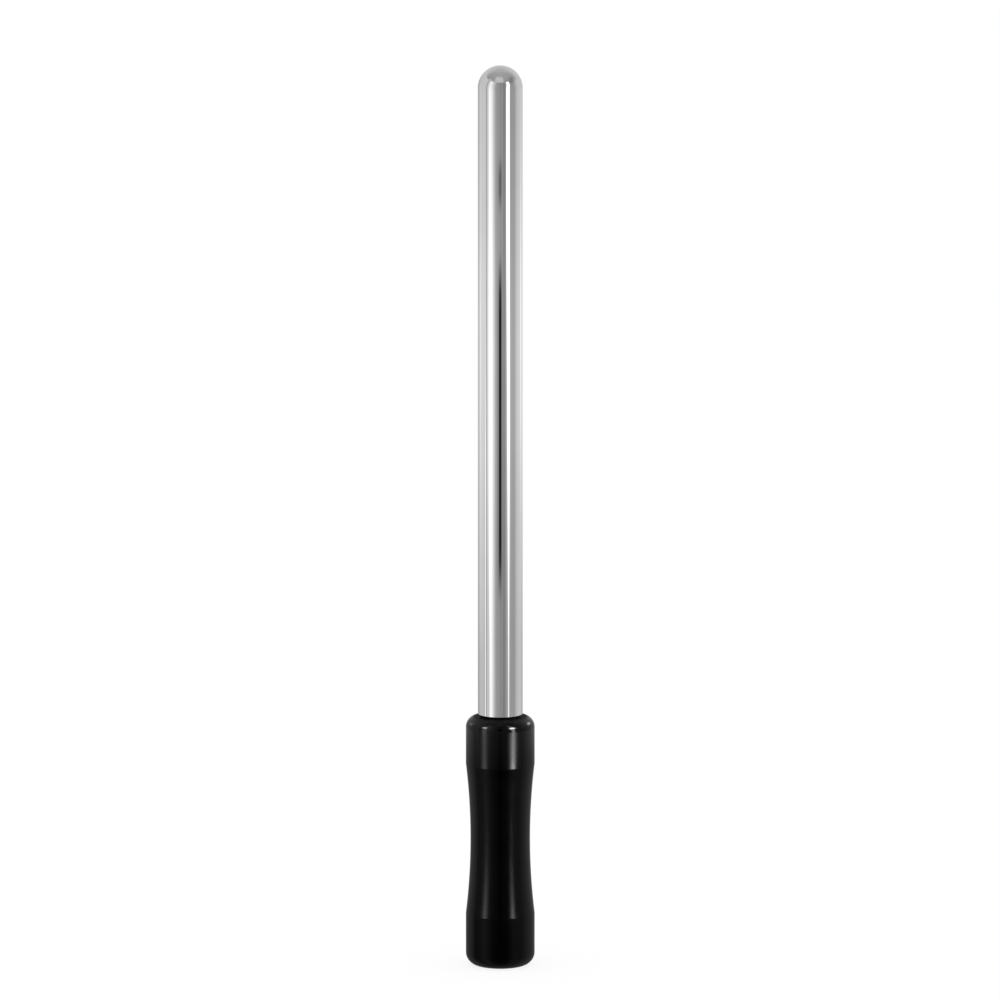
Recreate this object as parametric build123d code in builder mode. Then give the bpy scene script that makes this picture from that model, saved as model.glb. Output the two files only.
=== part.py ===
from build123d import *
import os
from math import ceil, floor, radians, tan

# Ring sizer stick: a polished steel rod of one diameter with a hemispherical tip, held in a turned and
# waisted aluminium handle by a screw from below. Millimetres. The stick stands upright on the base of
# its handle: the origin is the centre of that base, and +Z runs along the axis towards the tip.

# ---- Driving dimensions ----

rod_diameter = 9.0  # the size that a ring or a wire coil is formed or checked on
overall_height = 183.1  # base of the handle to the tip of the rod

handle_height = 50.9
handle_diameter = 13.8  # of the short cylinders at both ends
waist_diameter = 11.94  # at the middle of the waist
lower_band = 10.6  # base to the lower crease
upper_band = 9.7  # upper crease to the top of the handle
base_round = 2.6
top_round = 2.25
mouth_chamfer = 0.2

tang_diameter = 7.0  # the rod is turned down to this inside the handle
tang_length = 40.4
tang_chamfer = 0.5
shoulder_chamfer = 0.5  # leaves the dark ring that shows between the rod and the handle
bore_clearance = 0.01  # radial, between the tang and the bore
bore_end_gap = 0.5  # below the tang, so that the screw pulls the shoulder down onto the handle

counterbore_diameter = 6.0
counterbore_depth = 6.5
screw_hole_diameter = 3.2
base_chamfer = 0.15

thread_diameter = 3.0  # M3 x 0.5
thread_pitch = 0.5
thread_allowance = 0.02  # radial, between the screw's thread and the rod's
screw_length = 12.0
screw_head_diameter = 5.5
screw_head_height = 3.0
screw_head_round = 0.3
screw_tip_chamfer = 0.3
socket_across_flats = 2.5
socket_depth = 1.5
tapped_depth = 9.0
drill_past_thread = 1.5
drill_point_angle = 118.0

washer_inner_diameter = 3.1
washer_outer_diameter = 5.6
washer_thickness = 1.0
washer_split = 0.5
washer_split_lean = 20.0  # degrees from upright
washer_edge_round = 0.1

plug_thickness = 2.0
plug_recess = 0.2  # keeps the plug off the surface that the handle stands on
plug_clearance = 0.02  # radial
plug_chamfer = 0.3

# ---- Worked-out dimensions ----

rod_radius = rod_diameter / 2
tang_radius = tang_diameter / 2
handle_radius = handle_diameter / 2
waist_radius = waist_diameter / 2
bore_radius = tang_radius + bore_clearance
upper_crease = handle_height - upper_band
waist_middle = (lower_band + upper_crease) / 2
dome_centre = overall_height - rod_radius
tang_end = handle_height - tang_length
bore_end = tang_end - bore_end_gap

counterbore_radius = counterbore_diameter / 2
screw_hole_radius = screw_hole_diameter / 2
under_head = counterbore_depth - washer_thickness  # the screw's bearing face
head_bottom = under_head - screw_head_height
screw_tip = under_head + screw_length

# ISO metric thread form. The thread is a stack of plain rings, one to a pitch, with no helix.
thread_height = thread_pitch * 3**0.5 / 2
ring_height = thread_height * 5 / 8
major_radius = thread_diameter / 2
minor_radius = major_radius - ring_height
crest_half_width = thread_pitch / 16
root_half_width = thread_pitch * 3 / 8
drill_point_height = minor_radius / tan(radians(drill_point_angle / 2))
tapped_top = tang_end + tapped_depth
drilled_top = tapped_top + drill_past_thread


def thread_rings(bottom, top, allowance=0.0):
    """Outline points (radius, height) of the thread rings that fit whole between two heights."""
    points = []
    first = ceil((bottom + root_half_width) / thread_pitch)
    last = floor((top - root_half_width) / thread_pitch)
    for ring in range(first, last + 1):
        height = ring * thread_pitch
        points.append((minor_radius - allowance, height - root_half_width))
        points.append((major_radius - allowance, height - crest_half_width))
        points.append((major_radius - allowance, height + crest_half_width))
        points.append((minor_radius - allowance, height + root_half_width))
    return points


# ---- Mandrel rod: one diameter from its shoulder to the dome, over a tang tapped for the screw ----

with BuildPart() as mandrel_rod:
    with BuildSketch(Plane.XZ):
        with BuildLine():
            Polyline(
                (0, tang_end),
                (tang_radius - tang_chamfer, tang_end),
                (tang_radius, tang_end + tang_chamfer),
                (tang_radius, handle_height),
                (rod_radius - shoulder_chamfer, handle_height),
                (rod_radius, handle_height + shoulder_chamfer),
                (rod_radius, dome_centre),
            )
            CenterArc((0, dome_centre), rod_radius, 0, 90)
            Line((0, overall_height), (0, tang_end))
        make_face()
    revolve(axis=Axis.Z)

    with BuildSketch(Plane.XZ):
        with BuildLine():
            Polyline(
                (0, tang_end),
                (screw_hole_radius, tang_end),
                (minor_radius, tang_end + ring_height),
                *thread_rings(tang_end + ring_height, tapped_top),
                (minor_radius, drilled_top),
                (0, drilled_top + drill_point_height),
                close=True,
            )
        make_face()
    revolve(axis=Axis.Z, mode=Mode.SUBTRACT)

# ---- Handle: a cylinder at each end, a waist of one long arc between two creases, and rounded ends ----

with BuildPart() as handle:
    with BuildSketch(Plane.XZ):
        with BuildLine():
            Line((0, 0), (handle_radius - base_round, 0))
            CenterArc((handle_radius - base_round, base_round), base_round, 270, 90)
            Line((handle_radius, base_round), (handle_radius, lower_band))
            ThreePointArc(
                (handle_radius, lower_band),
                (waist_radius, waist_middle),
                (handle_radius, upper_crease),
            )
            Line((handle_radius, upper_crease), (handle_radius, handle_height - top_round))
            CenterArc((handle_radius - top_round, handle_height - top_round), top_round, 0, 90)
            Polyline(
                (handle_radius - top_round, handle_height),
                (0, handle_height),
                (0, 0),
            )
        make_face()
    revolve(axis=Axis.Z)

    with Locations(Plane.XY.offset(handle_height)):
        Hole(bore_radius, depth=handle_height - bore_end)
    with Locations(Plane(origin=(0, 0, 0), z_dir=(0, 0, -1))):
        CounterBoreHole(screw_hole_radius, counterbore_radius, counterbore_depth, depth=bore_end)

    top_face = handle.faces().filter_by(GeomType.PLANE).sort_by(Axis.Z)[-1]
    chamfer(top_face.inner_wires().edges(), length=mouth_chamfer)
    base_face = handle.faces().filter_by(GeomType.PLANE).sort_by(Axis.Z)[0]
    chamfer(base_face.inner_wires().edges(), length=base_chamfer)

# ---- Retaining screw: M3 x 12 socket-head cap screw, head down, threaded to its head ----

with BuildPart() as retaining_screw:
    with BuildSketch(Plane.XZ):
        with BuildLine():
            Polyline(
                (0, head_bottom),
                (screw_head_diameter / 2, head_bottom),
                (screw_head_diameter / 2, under_head),
                (minor_radius - thread_allowance, under_head),
                *thread_rings(under_head, screw_tip - screw_tip_chamfer, thread_allowance),
                (minor_radius - thread_allowance, screw_tip - screw_tip_chamfer),
                (minor_radius - thread_allowance - screw_tip_chamfer, screw_tip),
                (0, screw_tip),
                close=True,
            )
        make_face()
    revolve(axis=Axis.Z)

    head_rim = retaining_screw.edges().group_by(Axis.Z)[0]
    fillet(head_rim, radius=screw_head_round)

    with BuildSketch(Plane.XY.offset(head_bottom)):
        RegularPolygon(socket_across_flats / 2, side_count=6, major_radius=False)
    extrude(amount=socket_depth, mode=Mode.SUBTRACT)

# ---- Lock washer: a split spring ring, pressed flat under the screw's head ----

with BuildPart() as lock_washer:
    with BuildSketch(Plane.XY.offset(under_head)):
        Circle(washer_outer_diameter / 2)
        Circle(washer_inner_diameter / 2, mode=Mode.SUBTRACT)
    extrude(amount=washer_thickness)
    fillet(lock_washer.edges(), radius=washer_edge_round)

    washer_middle = under_head + washer_thickness / 2
    with Locations(Location((washer_outer_diameter / 4 + washer_inner_diameter / 4, 0, washer_middle))):
        Box(
            washer_outer_diameter,
            washer_split,
            washer_thickness * 2,
            rotation=(washer_split_lean, 0, 0),
            mode=Mode.SUBTRACT,
        )

# ---- Base plug: a push-in disc that closes the counterbore ----

with BuildPart() as base_plug:
    with BuildSketch(Plane.XY.offset(plug_recess)):
        Circle(counterbore_radius - plug_clearance)
    extrude(amount=plug_thickness)
    chamfer(base_plug.edges(), length=plug_chamfer)

# ---- Labels and files ----

mandrel_rod.part.label = "mandrel_rod"
handle.part.label = "handle"
retaining_screw.part.label = "retaining_screw"
lock_washer.part.label = "lock_washer"
base_plug.part.label = "base_plug"

os.makedirs("parts", exist_ok=True)
export_step(mandrel_rod.part, "parts/mandrel_rod.step")
export_step(handle.part, "parts/handle.step")
export_step(retaining_screw.part, "parts/retaining_screw.step")
export_step(lock_washer.part, "parts/lock_washer.step")
export_step(base_plug.part, "parts/base_plug.step")
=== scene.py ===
import math

import bpy
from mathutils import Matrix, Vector

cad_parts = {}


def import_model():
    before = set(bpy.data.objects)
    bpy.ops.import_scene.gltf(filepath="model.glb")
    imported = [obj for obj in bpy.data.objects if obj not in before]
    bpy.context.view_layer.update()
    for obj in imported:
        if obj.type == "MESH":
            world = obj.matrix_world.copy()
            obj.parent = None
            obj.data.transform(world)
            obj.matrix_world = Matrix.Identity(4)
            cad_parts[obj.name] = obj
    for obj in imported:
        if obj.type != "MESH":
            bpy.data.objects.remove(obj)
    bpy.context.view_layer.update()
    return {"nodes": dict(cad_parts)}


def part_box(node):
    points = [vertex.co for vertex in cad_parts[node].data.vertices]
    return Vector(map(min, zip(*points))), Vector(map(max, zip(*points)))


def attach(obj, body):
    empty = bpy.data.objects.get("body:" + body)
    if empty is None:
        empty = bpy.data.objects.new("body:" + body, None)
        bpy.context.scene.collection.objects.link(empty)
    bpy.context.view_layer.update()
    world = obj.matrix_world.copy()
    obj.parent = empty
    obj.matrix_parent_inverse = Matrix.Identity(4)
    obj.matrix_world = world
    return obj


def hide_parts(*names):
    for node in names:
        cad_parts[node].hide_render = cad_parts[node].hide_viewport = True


# Ring sizer stick: a mirror-polished steel rod in a black anodised handle, lit by two light tents.
# Metres, in the frame of the CAD model: +Z up along the axis, the origin on the surface it stands on.

MM = 0.001
MICRON = 0.001 * MM
SEGMENTS = 256  # round a turned piece

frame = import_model()

# ---- Sizes: the frame gives the outer ones, the rest are the turned details ----

handle_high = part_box("handle")[1]
rod_low, rod_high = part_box("mandrel_rod")

HANDLE_RADIUS = handle_high.x
HANDLE_TOP = handle_high.z
WAIST_RADIUS = 5.97 * MM
LOWER_CREASE = 10.6 * MM
UPPER_CREASE = HANDLE_TOP - 9.7 * MM
BASE_ROUND = 2.6 * MM
TOP_ROUND = 2.25 * MM
MOUTH_CHAMFER = 0.2 * MM
BORE_RADIUS = 3.51 * MM
BORE_END = 10.0 * MM
SCREW_HOLE_RADIUS = 1.6 * MM
COUNTERBORE_RADIUS = 3.0 * MM
COUNTERBORE_DEPTH = 6.5 * MM
BASE_CHAMFER = 0.15 * MM

ROD_RADIUS = rod_high.x
ROD_TIP = rod_high.z
TANG_RADIUS = 3.5 * MM
TANG_END = rod_low.z
TANG_CHAMFER = 0.5 * MM
SHOULDER_CHAMFER = 0.5 * MM
THREAD_PITCH = 0.5 * MM
THREAD_MAJOR = 1.5 * MM
THREAD_DEPTH = THREAD_PITCH * math.sqrt(3) / 2 * 5 / 8
TAPPED_DEPTH = 9.0 * MM
DRILLED_DEPTH = 10.5 * MM
DRILL_POINT = math.radians(118)


# ---- Turned meshes: an outline of straight and round stretches, spun round the axis ----

def line(start, end, count=1):
    """Outline samples (point, outward normal) along a straight stretch. The metal is on its left."""
    start, end = Vector(start), Vector(end)
    along = (end - start).normalized()
    normal = Vector((along.y, -along.x))
    return [(start.lerp(end, i / count), normal) for i in range(count + 1)]


def arc(centre, radius, start, end, count):
    """Outline samples along an arc from one angle to another, in degrees. A falling angle is a hollow."""
    outward = 1 if end > start else -1
    samples = []
    for i in range(count + 1):
        angle = math.radians(start + (end - start) * i / count)
        spoke = Vector((math.cos(angle), math.sin(angle)))
        samples.append((Vector(centre) + spoke * radius, spoke * outward))
    return samples


def polyline(*points):
    """The straight stretches from point to point, with sharp corners."""
    return [line(a, b) for a, b in zip(points, points[1:])]


def spin(name, stretches, closed=False, segments=SEGMENTS):
    """A mesh turned from an outline, which a closed one joins up to its start.

    The shading normals come from the outline, so corners stay crisp and arcs smooth.
    """
    on_axis = 0.001 * MICRON
    rings = [stretches[0][0][0]]
    bands = []
    for stretch in stretches:
        for (_, normal_a), (b, normal_b) in zip(stretch, stretch[1:]):
            bands.append((len(rings) - 1, len(rings), normal_a, normal_b))
            rings.append(b)
    if closed:
        rings.pop()
        first, _, normal_a, normal_b = bands[-1]
        bands[-1] = (first, 0, normal_a, normal_b)

    angles = [2 * math.pi * i / segments for i in range(segments)]
    turns = [(math.cos(angle), math.sin(angle)) for angle in angles]
    verts = []
    starts = []
    for r, z in rings:
        starts.append(len(verts))
        if r < on_axis:
            verts.append((0, 0, z))
        else:
            verts.extend((r * c, r * s, z) for c, s in turns)

    faces = []
    normals = []
    for a, b, normal_a, normal_b in bands:
        a_on_axis = rings[a][0] < on_axis
        b_on_axis = rings[b][0] < on_axis
        for i in range(segments):
            j = (i + 1) % segments
            corners = []
            if a_on_axis:
                corners.append((starts[a], normal_a, i))
            else:
                corners.append((starts[a] + i, normal_a, i))
                corners.append((starts[a] + j, normal_a, j))
            if b_on_axis:
                corners.append((starts[b], normal_b, i))
            else:
                corners.append((starts[b] + j, normal_b, j))
                corners.append((starts[b] + i, normal_b, i))
            faces.append([v for v, _, _ in corners])
            for _, n, k in corners:
                c, s = turns[k]
                normals.append((n.x * c, n.x * s, n.y))

    mesh = bpy.data.meshes.new(name)
    mesh.from_pydata(verts, [], faces)
    mesh.shade_smooth()
    mesh.normals_split_custom_set(normals)
    piece = bpy.data.objects.new(name, mesh)
    bpy.context.scene.collection.objects.link(piece)
    return piece


# ---- Materials ----

class Shader:
    """A material's node tree, with short calls to add and join nodes. Lengths are in metres."""

    def __init__(self, name, **settings):
        self.material = bpy.data.materials.new(name)
        self.material.use_nodes = True
        self.tree = self.material.node_tree
        self.surface = self.tree.nodes["Principled BSDF"]
        self.place = self.add("ShaderNodeTexCoord").outputs["Object"]
        for key, value in settings.items():
            self.surface.inputs[key.replace("_", " ")].default_value = value

    def add(self, kind, **settings):
        node = self.tree.nodes.new(kind)
        for key, value in settings.items():
            setattr(node, key, value)
        return node

    def join(self, output, socket):
        self.tree.links.new(output, socket)

    def noise(self, across, up=None, detail=2.0):
        """Noise from 0 to 1 in flecks of one size across the piece and another up it."""
        mapping = self.add("ShaderNodeMapping")
        mapping.inputs["Scale"].default_value = (1 / across, 1 / across, 1 / (up or across))
        self.join(self.place, mapping.inputs["Vector"])
        node = self.add("ShaderNodeTexNoise")
        node.inputs["Scale"].default_value = 1
        node.inputs["Detail"].default_value = detail
        self.join(mapping.outputs["Vector"], node.inputs["Vector"])
        return node.outputs["Fac"]

    def math(self, operation, a, b=0.0):
        node = self.add("ShaderNodeMath", operation=operation)
        for value, socket in zip((a, b), node.inputs):
            if isinstance(value, (int, float)):
                socket.default_value = value
            else:
                self.join(value, socket)
        return node.outputs["Value"]

    def rings(self, pitch, wander):
        """Waves from -1 to 1 up the axis, as a turning tool leaves them, wandering by part of a turn."""
        split = self.add("ShaderNodeSeparateXYZ")
        self.join(self.place, split.inputs["Vector"])
        turns = self.math("MULTIPLY", split.outputs["Z"], 2 * math.pi / pitch)
        return self.math("SINE", self.math("ADD", turns, self.math("MULTIPLY", wander, 4)))

    def roughness(self, value, low, high):
        """Spreads the middle of a noise over a range of roughness."""
        node = self.add("ShaderNodeMapRange")
        node.inputs["From Min"].default_value = 0.3
        node.inputs["From Max"].default_value = 0.7
        node.inputs["To Min"].default_value = low
        node.inputs["To Max"].default_value = high
        self.join(value, node.inputs["Value"])
        self.join(node.outputs["Result"], self.surface.inputs["Roughness"])

    def dull_and_paint_sheen(self, low, high, gloss, grey):
        """Between two heights, takes the gloss down to almost none and turns the colour to a grey, a
        painted sheen in place of the gloss.
        """
        least = 0.005
        split = self.add("ShaderNodeSeparateXYZ")
        self.join(self.place, split.inputs["Vector"])
        rise = self.add("ShaderNodeMapRange")
        rise.interpolation_type = "SMOOTHSTEP"
        rise.inputs["From Min"].default_value = low
        rise.inputs["From Max"].default_value = high
        self.join(split.outputs["Z"], rise.inputs["Value"])

        loss = self.math("MULTIPLY", rise.outputs["Result"], gloss - least)
        left = self.math("SUBTRACT", gloss, loss)
        self.join(left, self.surface.inputs["Specular IOR Level"])

        # Painted sheen: towards the top the colour turns to a grey where the gloss is taken away.
        mix = self.add("ShaderNodeMix")
        mix.data_type = "RGBA"
        colour = self.surface.inputs["Base Color"].links[0].from_socket
        self.join(rise.outputs["Result"], mix.inputs[0])
        self.join(colour, mix.inputs[6])
        mix.inputs[7].default_value = (grey, grey, grey, 1)
        self.join(mix.outputs[2], self.surface.inputs["Base Color"])

    def tint(self, value, dark, light):
        """Spreads the middle of a noise between two colours."""
        node = self.add("ShaderNodeValToRGB")
        node.color_ramp.elements[0].position = 0.3
        node.color_ramp.elements[1].position = 0.7
        node.color_ramp.elements[0].color = (*dark, 1)
        node.color_ramp.elements[1].color = (*light, 1)
        self.join(value, node.inputs["Fac"])
        self.join(node.outputs["Color"], self.surface.inputs["Base Color"])

    def bump(self, *layers):
        """Bumps laid one over another, each a pattern and the height in metres of its whole range."""
        normal = None
        for pattern, height in layers:
            node = self.add("ShaderNodeBump")
            node.inputs["Distance"].default_value = height
            self.join(pattern, node.inputs["Height"])
            if normal is not None:
                self.join(normal, node.inputs["Normal"])
            normal = node.outputs["Normal"]
        self.join(normal, self.surface.inputs["Normal"])


def polished_steel():
    """Mirror-polished in a lathe: hairlines run round the rod, too fine to break its reflections up."""
    shader = Shader("polished_steel", Metallic=1.0)
    hairlines = shader.noise(3 * MM, up=0.03 * MM, detail=3)
    haze = shader.noise(6 * MM, up=9 * MM)
    shader.tint(haze, (0.705, 0.705, 0.71), (0.735, 0.735, 0.738))
    shader.roughness(hairlines, 0.035, 0.06)
    shader.bump((hairlines, 0.04 * MICRON))
    return shader.material


def black_anodised():
    """Satin black: the fine grain of the etch over the rings that the turning tool left.

    The flat top is left matt, with a little grey painted on it as a sheen in place of its gloss. If it
    were glossy, it would mirror the lamps beyond it.
    """
    shader = Shader("black_anodised", IOR=1.5)
    grain = shader.noise(0.2 * MM, detail=2)
    wander = shader.noise(5 * MM, up=2 * MM)
    patches = shader.noise(7 * MM, up=3 * MM)
    shader.tint(patches, (0.0005, 0.0005, 0.0006), (0.0011, 0.0011, 0.0012))
    shader.roughness(grain, 0.09, 0.14)
    # The flat top's grey is a painted sheen in place of its gloss.
    shader.dull_and_paint_sheen(HANDLE_TOP - 0.55 * MM, HANDLE_TOP - 0.05 * MM, gloss=0.17, grey=0.009)
    shader.bump((shader.rings(0.4 * MM, wander), 0.8 * MICRON), (grain, 1.5 * MICRON))
    return shader.material


def black_oxide_steel():
    """Chemically blackened: almost matt, with a brownish cast where the oil has thinned."""
    shader = Shader("black_oxide_steel", Metallic=0.6)
    mottle = shader.noise(0.8 * MM, detail=4)
    shader.tint(mottle, (0.018, 0.018, 0.022), (0.045, 0.041, 0.038))
    shader.roughness(mottle, 0.32, 0.48)
    shader.bump((shader.noise(0.05 * MM), 1 * MICRON))
    return shader.material


def spring_steel():
    """Drawn wire, tempered: bright, with draw lines round the ring and a straw-coloured bloom."""
    shader = Shader("spring_steel", Metallic=1.0)
    lines = shader.noise(1.5 * MM, up=0.04 * MM, detail=3)
    bloom = shader.noise(2 * MM)
    shader.tint(bloom, (0.40, 0.39, 0.37), (0.52, 0.52, 0.53))
    shader.roughness(lines, 0.24, 0.4)
    shader.bump((lines, 1 * MICRON))
    return shader.material


def black_rubber():
    """Moulded from a sparked die: matt and finely pitted, with a dusty bloom."""
    shader = Shader("black_rubber", IOR=1.5, Specular_IOR_Level=0.3)
    bloom = shader.noise(1.2 * MM, detail=3)
    pits = shader.noise(0.08 * MM, detail=2)
    shader.tint(bloom, (0.011, 0.011, 0.012), (0.022, 0.022, 0.022))
    shader.roughness(bloom, 0.62, 0.8)
    shader.bump((pits, 8 * MICRON))
    return shader.material


def dress(piece, material):
    """Gives a piece one material in place of any it has."""
    piece.data.materials.clear()
    piece.data.materials.append(material)


# ---- Mandrel rod ----

def thread_outline(top, bottom):
    """The tapped hole's thread, as rings of the real pitch and depth, from the top down."""
    crest = THREAD_PITCH / 16
    root = THREAD_PITCH * 3 / 8
    minor = THREAD_MAJOR - THREAD_DEPTH
    first = math.floor((top - root) / THREAD_PITCH)
    last = math.ceil((bottom + root) / THREAD_PITCH)
    points = []
    for ring in range(first, last - 1, -1):
        z = ring * THREAD_PITCH
        points += [(minor, z + root), (THREAD_MAJOR, z + crest)]
        points += [(THREAD_MAJOR, z - crest), (minor, z - root)]
    return points


def mandrel_rod():
    """The rod, from the drilled hole in its tang out and up to the dome."""
    minor = THREAD_MAJOR - THREAD_DEPTH
    drilled_top = TANG_END + DRILLED_DEPTH
    dome_centre = ROD_TIP - ROD_RADIUS
    stretches = polyline(
        (0, drilled_top + minor / math.tan(DRILL_POINT / 2)),
        (minor, drilled_top),
        *thread_outline(TANG_END + TAPPED_DEPTH, TANG_END + THREAD_DEPTH),
        (minor, TANG_END + THREAD_DEPTH),
        (SCREW_HOLE_RADIUS, TANG_END),
        (TANG_RADIUS - TANG_CHAMFER, TANG_END),
        (TANG_RADIUS, TANG_END + TANG_CHAMFER),
        (TANG_RADIUS, HANDLE_TOP),
        (ROD_RADIUS - SHOULDER_CHAMFER, HANDLE_TOP),
        (ROD_RADIUS, HANDLE_TOP + SHOULDER_CHAMFER),
        (ROD_RADIUS, dome_centre),
    )
    stretches.append(arc((0, dome_centre), ROD_RADIUS, 0, 90, 64))
    piece = spin("polished_rod", stretches)
    dress(piece, polished_steel())
    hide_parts("mandrel_rod")
    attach(piece, "root")
    return piece


# ---- Handle ----

def handle():
    """The handle, from the foot of its bore out, up its side and back down into the bore."""
    waist_middle = (LOWER_CREASE + UPPER_CREASE) / 2
    half_waist = (UPPER_CREASE - LOWER_CREASE) / 2
    depth = HANDLE_RADIUS - WAIST_RADIUS
    waist_arc = (half_waist**2 + depth**2) / (2 * depth)
    half_turn = math.degrees(math.asin(half_waist / waist_arc))
    base_flat = HANDLE_RADIUS - BASE_ROUND
    top_flat = HANDLE_RADIUS - TOP_ROUND

    stretches = [
        *polyline(
            (BORE_RADIUS, BORE_END),
            (SCREW_HOLE_RADIUS, BORE_END),
            (SCREW_HOLE_RADIUS, COUNTERBORE_DEPTH),
            (COUNTERBORE_RADIUS, COUNTERBORE_DEPTH),
            (COUNTERBORE_RADIUS, BASE_CHAMFER),
            (COUNTERBORE_RADIUS + BASE_CHAMFER, 0),
            (base_flat, 0),
        ),
        arc((base_flat, BASE_ROUND), BASE_ROUND, -90, 0, 24),
        line((HANDLE_RADIUS, BASE_ROUND), (HANDLE_RADIUS, LOWER_CREASE), 4),
        arc((WAIST_RADIUS + waist_arc, waist_middle), waist_arc, 180 + half_turn, 180 - half_turn, 48),
        line((HANDLE_RADIUS, UPPER_CREASE), (HANDLE_RADIUS, HANDLE_TOP - TOP_ROUND), 4),
        arc((top_flat, HANDLE_TOP - TOP_ROUND), TOP_ROUND, 0, 90, 24),
        *polyline(
            (top_flat, HANDLE_TOP),
            (BORE_RADIUS + MOUTH_CHAMFER, HANDLE_TOP),
            (BORE_RADIUS, HANDLE_TOP - MOUTH_CHAMFER),
            (BORE_RADIUS, BORE_END),
        ),
    ]
    piece = spin("anodised_handle", stretches, closed=True)
    dress(piece, black_anodised())
    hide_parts("handle")
    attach(piece, "root")
    return piece


# ---- Hardware inside the handle: the CAD pieces, with their materials ----

def hardware():
    """Dresses the screw, the washer and the plug, and gives them back."""
    materials = {
        "retaining_screw": black_oxide_steel(),
        "lock_washer": spring_steel(),
        "base_plug": black_rubber(),
    }
    for name, material in materials.items():
        dress(frame["nodes"][name], material)
    return [frame["nodes"][name] for name in materials]


# ---- Studio: two light tents and six lamps that only gloss sees, over a pale floor in a white room ----

TENT_RADIUS = 100 * MM
TENT_BOTTOM = -60 * MM  # gloss doesn't see the floor, so the handle mirrors the tent below it as well
TENT_TOP = 254 * MM
TENT_SEGMENTS = 360  # a degree each, because the light changes within a few degrees
TENT_GAP = 1 * MM  # between the rod's tent and the handle's, outside it

REAR_LEVEL = 0.85

# The tent's wall, walking round it from behind the stick: where the light changes, in degrees to the
# right of the camera, over how wide an edge, and how far it rises.
WALL_EDGES = [
    (-166, 6, -0.21),
    (-133, 30, 0.28),
    (-36, 56, -0.44),
    (-4, 10, -0.06),
    (14, 6, -0.08),
    (26, 12, 0.17),
    (81.4, 3, 0.21),
    (95.6, 3, 0.16),
    (172, 16, -0.03),
]


def step(edge, soft, x):
    """0 below an edge and 1 above it, smooth over a soft width."""
    t = min(max((x - edge) / soft + 0.5, 0), 1)
    return t * t * (3 - 2 * t)


def band(centre, width, soft, x):
    """1 within a band and 0 outside it."""
    return step(centre - width / 2, soft, x) * (1 - step(centre + width / 2, soft, x))


def bell(centre, width, x):
    """1 at a centre, falling smoothly to either side."""
    return math.exp(-(((x - centre) / width) ** 2))


def cloth(azimuth, z):
    """The plain wall, a broad panel on the left, and seams that show as fine lines on the rod."""
    light = REAR_LEVEL
    for edge, soft, rise in WALL_EDGES:
        light += rise * step(edge, soft, azimuth)

    upper = step(29, 4, z)
    below_middle = 1 - step(98, 40, z)
    lean = 6 * (1 - step(55, 50, z))
    panel = 0.85 + 0.1 * bell(60, 18, z) - 0.1 * step(140, 30, z) - 0.15 * step(190, 40, z)
    light += panel * upper * step(-60.5 + lean, 10, azimuth) * (1 - step(-36, 34, azimuth))

    light -= 0.36 * upper * band(-73.8, 6.4, 1.5, azimuth)
    light += 0.5 * upper * below_middle * band(-80.2, 6.4, 1.5, azimuth)
    light -= 0.12 * upper * below_middle * band(-87, 6.4, 1.5, azimuth)
    light += 0.22 * bell(108, 38, z) * band(-120.5, 10, 3, azimuth)
    light += 0.46 * bell(115, 35, z) * band(128.8, 11.5, 2, azimuth)
    light += 0.07 * step(120, 60, z) * band(11.4, 4, 2, azimuth)
    return light


def shaded(light, azimuth, z):
    """The cloth's light where it is dimmer: away from mid height, near the floor and in some patches."""
    light *= 0.8 + 0.2 * bell(105, 38, z)
    light *= 1 - 0.12 * (1 - step(48, 30, z)) * (1 - step(-85, 10, azimuth))

    # Under the lamps it is dim, and most of all in front.
    under = 1 - step(31, 3, z)
    light *= 0.5 + 0.5 * step(26, 10, z) - 0.1 * (1 - step(-8, 16, z))
    shade = 0.33 * under + 0.2 * (1 - step(19, 8, z)) + 0.15 * (1 - step(-8, 30, z))
    light *= 1 - shade * step(-98, 20, azimuth) * (1 - step(36, 24, azimuth))
    light -= under * (0.05 * bell(0, 25, azimuth) + 0.08 * bell(0, 6, azimuth))

    # Dark patches low down behind the stick, high up on the right and low down on the right, behind,
    # and a lighter one high up on the left, behind.
    light *= 1 - 0.6 * bell(75, 30, z) * step(170, 8, abs(azimuth))
    light *= 1 - 0.35 * step(225, 30, z) * step(40, 30, azimuth) * (1 - step(120, 30, azimuth))
    light *= 1 - 0.22 * (1 - step(58, 50, z)) * step(134, 8, azimuth)
    return light + 0.2 * step(190, 30, z) * band(-150, 32, 8, azimuth)


def strip_lamp(azimuth, z):
    """The strip lamp on the right, wider towards the top, and its halo on the cloth."""
    rise = step(90, 120, z)
    centre = 42.7 - 3.8 * rise**2 + 5 * step(205, 40, z)
    strip = (0.95 + 0.6 * rise) * band(centre, 5 + 12.4 * rise, 5, azimuth)
    halo = 0.45 * bell(92, 38, z) * bell(42.5, 9, azimuth)
    return step(32, 4, z) * (strip + halo)


def low_lamps(azimuth, z):
    """Lamps near the floor, which make the highlights along the handle's sides."""
    crease = (1 - step(19.5, 3, z)) * (14 + 42 * step(17.2, 2.4, z))
    right = step(15, 2, z) * (8.2 + crease) * bell(42.3, 5.4 + 0.35 * abs(z - 15.7), azimuth)
    left = step(11, 4, z) * (1.5 + 2.6 * (1 - step(20, 4, z))) * bell(-53, 8.5, azimuth)
    spill = 0.3 * step(19, 8, z) * bell(43, 18, azimuth) + 0.15 * bell(-52, 16, azimuth)
    return right + left + spill


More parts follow.
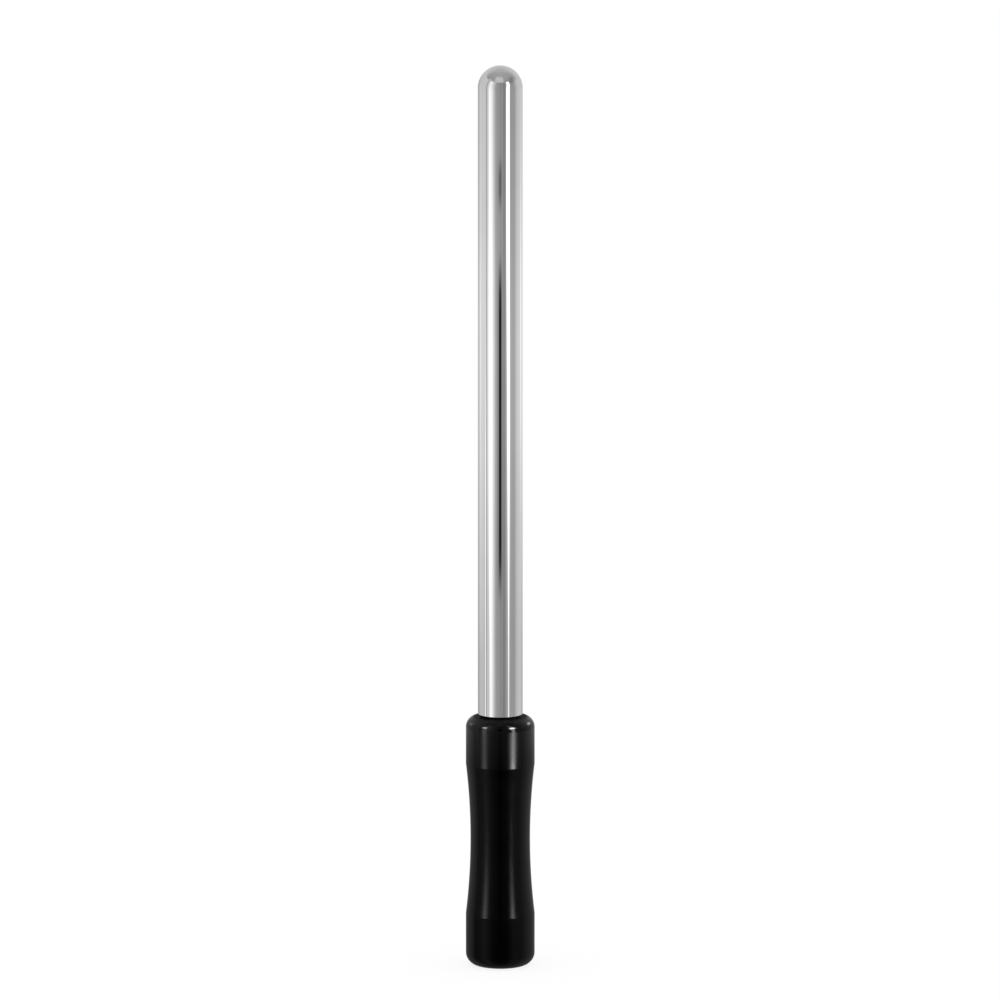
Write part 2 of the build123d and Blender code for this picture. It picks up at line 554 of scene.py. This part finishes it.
def wall_light(azimuth, z):
    """What the wall gives off at an azimuth in degrees and a height in millimetres."""
    light = shaded(cloth(azimuth, z), azimuth, z) + strip_lamp(azimuth, z)

    # Only the handle looks this low, and its gloss is weak except at its rims.
    low = 1 - step(31, 2, z)
    light += low * low_lamps(azimuth, z)
    light *= 1 + low * (0.14 + 0.48 * (1 - step(110, 60, abs(azimuth))))

    # The lens looks in through a slot in the front.
    slot = band(92.4, 63.4, 12, z) + 0.5 * band(143, 8, 4, z)
    light *= 1 - slot * (0.45 * bell(-6, 9, azimuth) + 0.35 * bell(7, 4, azimuth))
    return light * (1 - 0.97 * slot * band(-0.5, 11, 4, azimuth))


def ceiling_light(azimuth, out):
    """What the ceiling gives off, out from its middle at 0 to the wall at 1."""
    light = 0.49 - 0.13 * out
    light += 0.36 * out * step(120, 60, abs(azimuth))
    light += 0.28 * step(0.35, 0.3, out) * band(-8, 60, 24, azimuth)
    light += 0.22 * step(0.8, 0.2, out) * band(-66, 36, 16, azimuth)
    light -= 0.10 * step(0.7, 0.2, out) * band(78, 36, 12, azimuth)
    return light


def handle_light(place):
    """What the handle's tent gives off at a place on it."""
    azimuth = math.degrees(math.atan2(place.x, -place.y))
    if place.z > TENT_TOP - 2 * TENT_GAP:
        return ceiling_light(azimuth, math.hypot(place.x, place.y) / TENT_RADIUS)
    return max(wall_light(azimuth, place.z / MM), 0)


def rod_light(place):
    """What the rod's tent gives off: as above the low lamps all the way down to a white table top."""
    above_lamps = 34 * MM
    if place.z == 0:
        return 0.45 + 0.2 * math.hypot(place.x, place.y) / TENT_RADIUS
    return handle_light(Vector((place.x, place.y, max(place.z, above_lamps))))


def receivers(name, pieces):
    """A collection of the pieces that a light shines on."""
    lit = bpy.data.collections.new(name)
    for piece in pieces:
        lit.objects.link(piece)
    return lit


def glow(tent, light, pieces, clear=False):
    """Makes a tent shine on the gloss of some pieces. A clear one lets the others see out through it."""
    levels = [light(vertex.co) for vertex in tent.data.vertices]
    tent.data.attributes.new("light", "FLOAT", "POINT").data.foreach_set("value", levels)

    material = bpy.data.materials.new(tent.name)
    material.use_nodes = True
    material.cycles.emission_sampling = "NONE"
    tree = material.node_tree
    tree.nodes.clear()
    attribute = tree.nodes.new("ShaderNodeAttribute")
    attribute.attribute_name = "light"
    emission = tree.nodes.new("ShaderNodeEmission")
    output = tree.nodes.new("ShaderNodeOutputMaterial")
    tree.links.new(attribute.outputs["Fac"], emission.inputs["Strength"])
    shine = emission.outputs["Emission"]
    if clear:
        both = tree.nodes.new("ShaderNodeAddShader")
        tree.links.new(shine, both.inputs[0])
        tree.links.new(tree.nodes.new("ShaderNodeBsdfTransparent").outputs["BSDF"], both.inputs[1])
        shine = both.outputs["Shader"]
    tree.links.new(shine, output.inputs["Surface"])
    dress(tent, material)

    tent.visible_camera = False
    tent.visible_diffuse = False
    tent.visible_shadow = False
    tent.light_linking.receiver_collection = receivers(tent.name, pieces)


def tents(rod, handle_pieces):
    """Two tents, because a real one's table and low lamps look different to the rod and the handle."""
    # The rows are closest where the low lamps are.
    low, high = 6 * MM, 36 * MM
    outer = spin("handle_tent", [
        line((0, TENT_BOTTOM), (TENT_RADIUS, TENT_BOTTOM), 2),
        line((TENT_RADIUS, TENT_BOTTOM), (TENT_RADIUS, low), 11),
        line((TENT_RADIUS, low), (TENT_RADIUS, high), 30),
        line((TENT_RADIUS, high), (TENT_RADIUS, TENT_TOP), 54),
        line((TENT_RADIUS, TENT_TOP), (0, TENT_TOP), 20),
    ], segments=TENT_SEGMENTS)
    glow(outer, handle_light, handle_pieces)

    radius = TENT_RADIUS - TENT_GAP
    top = TENT_TOP - TENT_GAP
    inner = spin("rod_tent", [
        line((0, 0), (radius, 0), 4),
        line((radius, 0), (radius, top), 63),
        line((radius, top), (0, top), 20),
    ], segments=TENT_SEGMENTS)
    glow(inner, rod_light, [rod], clear=True)


# Lamps for the glints on the handle's shoulder: the middle's azimuth in degrees and its height, the
# lamp's width and height in millimetres, and its brightness. The strips carry the highlights of the
# handle's side up to the glints, and the rear lamps make the glints at the ends of the shoulder.
GLINT_LAMPS = {
    "right_lamp": (43.5, 106, 32, 30, 60),
    "right_strip": (43.5, 88, 17, 114, 9),
    "left_lamp": (-58, 106, 28, 30, 17),
    "left_strip": (-54, 84, 24, 106, 2.2),
    "rear_right_lamp": (124, 88, 34, 24, 4.5),
    "rear_left_lamp": (-124, 80, 34, 24, 0.9),
}


def glint_lamps(handle_piece):
    """Flat lamps just inside the tents, turned to the axis, that only the handle's gloss sees."""
    power = 4  # watts for each square metre, for a brightness of 1 as the tents' light is counted
    lamp_radius = TENT_RADIUS - 3 * TENT_GAP
    lit = receivers("glint_lamps", [handle_piece])
    for name, (azimuth, z, width, height, brightness) in GLINT_LAMPS.items():
        data = bpy.data.lights.new(name, "AREA")
        data.shape = "RECTANGLE"
        data.size = width * MM
        data.size_y = height * MM
        data.energy = power * data.size * data.size_y * brightness
        lamp = bpy.data.objects.new(name, data)
        angle = math.radians(azimuth)
        outward = Vector((math.sin(angle), -math.cos(angle), 0))
        lamp.location = outward * lamp_radius + Vector((0, 0, z * MM))
        lamp.rotation_euler = outward.to_track_quat("Z", "Y").to_euler()
        lamp.visible_camera = False
        lamp.visible_diffuse = False
        lamp.light_linking.receiver_collection = lit
        bpy.context.scene.collection.objects.link(lamp)


def floor():
    """A white table top that is lit from below as well, so that the stick's shadow on it is faint."""
    half = 4.0
    corners = [(-half, -half, 0), (half, -half, 0), (half, half, 0), (-half, half, 0)]
    mesh = bpy.data.meshes.new("floor")
    mesh.from_pydata(corners, [], [(0, 1, 2, 3)])
    table = bpy.data.objects.new("floor", mesh)
    bpy.context.scene.collection.objects.link(table)
    reflected = 0.15
    brightness = 1.01  # just enough to come out white
    shader = Shader(
        "white_floor",
        Base_Color=(reflected, reflected, reflected, 1),
        Roughness=1.0,
        Specular_IOR_Level=0.0,
        Emission_Color=(1, 1, 1, 1),
        Emission_Strength=brightness - reflected,
    )
    dress(table, shader.material)
    table.visible_glossy = False


def world():
    """A white room. It isn't sampled as a lamp, because the tents hide it from gloss."""
    room = bpy.data.worlds.new("room")
    room.use_nodes = True
    room.node_tree.nodes["Background"].inputs["Color"].default_value = (1, 1, 1, 1)
    room.cycles.sampling_method = "NONE"
    bpy.context.scene.world = room


def camera():
    """Square on and 11 degrees above, from far enough away to look parallel."""
    elevation = math.radians(11)
    view_width = 200 * MM
    aim = Vector((-0.054 * MM, 0, 94.88 * MM))  # what is in the middle of the view
    data = bpy.data.cameras.new("camera")
    data.lens = 1000
    data.sensor_width = 36
    data.clip_end = 50  # metres, far beyond the stick
    piece = bpy.data.objects.new("camera", data)
    bpy.context.scene.collection.objects.link(piece)
    distance = view_width * data.lens / data.sensor_width
    back = Vector((0, -math.cos(elevation), math.sin(elevation)))
    piece.location = aim + back * distance
    piece.rotation_euler = back.to_track_quat("Z", "Y").to_euler()
    bpy.context.scene.camera = piece


rod_piece = mandrel_rod()
handle_piece = handle()
tents(rod_piece, [handle_piece, *hardware()])
glint_lamps(handle_piece)
floor()
world()
camera()

bpy.context.scene.view_settings.view_transform = "Standard"
